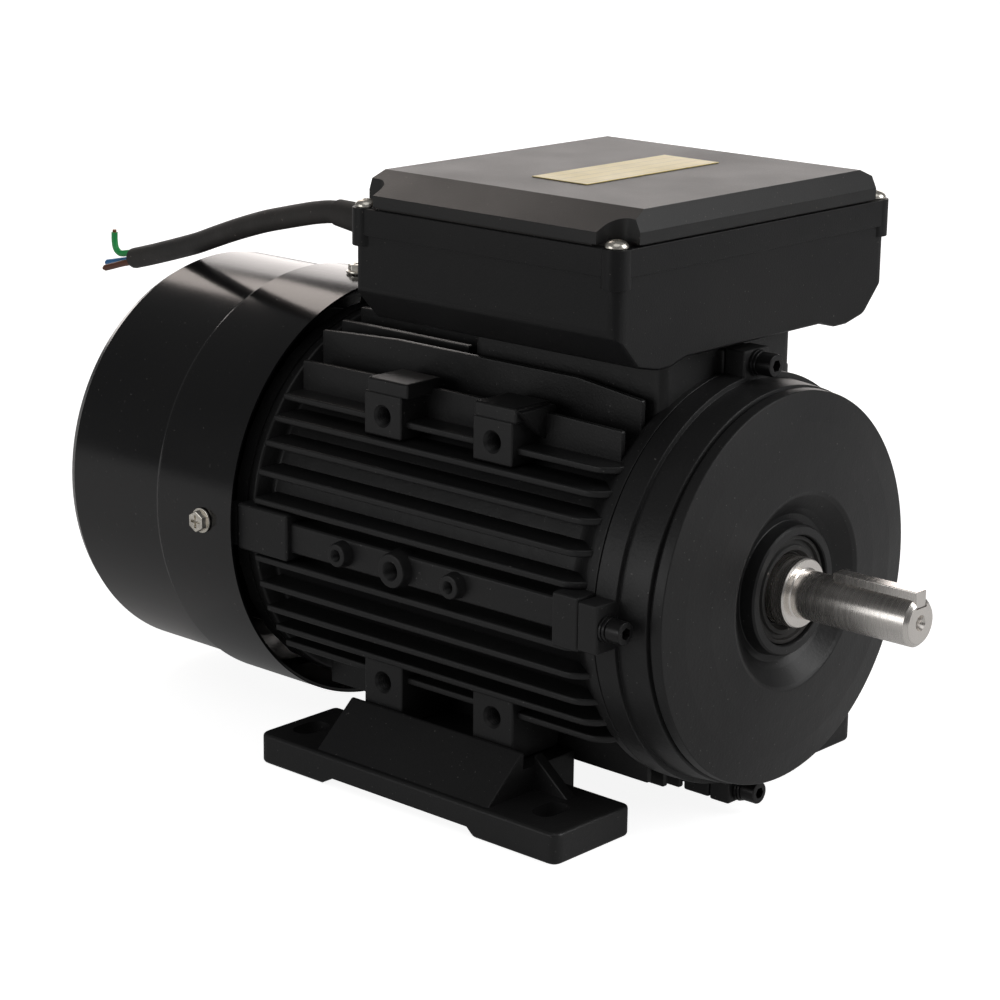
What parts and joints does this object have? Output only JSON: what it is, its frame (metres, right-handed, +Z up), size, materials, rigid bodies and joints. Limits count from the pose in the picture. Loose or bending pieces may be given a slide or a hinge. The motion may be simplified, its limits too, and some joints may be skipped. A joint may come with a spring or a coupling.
{
  "type": "electric motor",
  "caption": "Foot-mounted single-phase electric motor with ribbed housing, fan cowl, keyed shaft, capacitor terminal box and a short mains lead.",
  "frame": {"origin": "on the surface the feet stand on, at the middle of the motor's box without its lead", "axes": "+X along the shaft towards the drive end, +Y towards the foot named foot_right, +Z up"},
  "size_m": [0.4354, 0.182, 0.2347],
  "materials": {
    "black_paint": "semi-gloss",
    "gloss_sheet": "gloss",
    "black_plastic": "fine texture",
    "black_rubber": "matt",
    "bright_steel": "turned and ground",
    "black_steel": "black oxide",
    "zinc_steel": "zinc plated",
    "core_steel": "laminated",
    "copper": "varnished",
    "aluminium": "as cast",
    "gold_foil": "printed foil",
    "blue_core": "satin",
    "brown_core": "satin",
    "green_core": "satin"
  },
  "bodies": {
    "stator": {"frame_housing": "black_paint", "foot_left": "black_paint", "foot_right": "black_paint", "drive_end_shield": "black_paint", "rear_end_shield": "black_paint", "front_shield_screw_right": "black_steel", "rear_shield_screw_right": "zinc_steel", "cowl_screw_right": "zinc_steel", "front_shield_screw_top": "black_steel", "rear_shield_screw_top": "zinc_steel", "cowl_screw_top": "zinc_steel", "front_shield_screw_left": "black_steel", "rear_shield_screw_left": "zinc_steel", "cowl_screw_left": "zinc_steel", "front_shield_screw_bottom": "black_steel", "rear_shield_screw_bottom": "zinc_steel", "cowl_screw_bottom": "zinc_steel", "foot_bolt_left_rear": "zinc_steel", "lid_screw_left_rear": "zinc_steel", "foot_bolt_left_front": "zinc_steel", "lid_screw_left_front": "zinc_steel", "foot_bolt_right_rear": "zinc_steel", "lid_screw_right_rear": "zinc_steel", "foot_bolt_right_front": "zinc_steel", "lid_screw_right_front": "zinc_steel", "stator_core": "core_steel", "stator_winding_front": "copper", "stator_winding_rear": "copper", "start_switch_plate": "black_plastic", "shaft_seal": "black_rubber", "fan_cowl": "gloss_sheet", "terminal_box_base": "black_plastic", "terminal_box_gasket": "black_rubber", "terminal_box_lid": "black_plastic", "lid_label": "gold_foil", "start_capacitor": "black_plastic", "run_capacitor": "aluminium", "terminal_block": "black_plastic", "earth_screw": "zinc_steel", "cable_gland_body": "black_plastic", "cable_gland_nut": "black_plastic", "mains_lead": "black_rubber", "lead_core_blue": "blue_core", "lead_core_brown": "brown_core", "lead_core_green": "green_core", "bearing_front_outer_ring": "bright_steel", "bearing_rear_outer_ring": "bright_steel"},
    "rotor": {"shaft": "bright_steel", "shaft_key": "bright_steel", "rotor_core": "core_steel", "centrifugal_actuator": "aluminium", "cooling_fan": "black_plastic", "fan_circlip": "black_steel", "bearing_front_inner_ring": "bright_steel", "bearing_rear_inner_ring": "bright_steel"},
    "front_cage": {"bearing_front_balls_and_cage": "bright_steel"},
    "rear_cage": {"bearing_rear_balls_and_cage": "bright_steel"}
  },
  "joints": [
    {"name": "rotor_spin", "type": "hinge", "parent": "stator", "child": "rotor", "pos_m": [0, 0, 0.09], "axis": [1, 0, 0], "continuous": true},
    {"name": "front_cage_spin", "type": "hinge", "parent": "stator", "child": "front_cage", "pos_m": [0.1078, 0, 0.09], "axis": [1, 0, 0], "continuous": true},
    {"name": "rear_cage_spin", "type": "hinge", "parent": "stator", "child": "rear_cage", "pos_m": [-0.0946, 0, 0.09], "axis": [1, 0, 0], "continuous": true}
  ],
  "couplings": [
    {"joint": "front_cage_spin", "follows": "rotor_spin", "ratio": 0.3987},
    {"joint": "rear_cage_spin", "follows": "rotor_spin", "ratio": 0.3987}
  ]
}
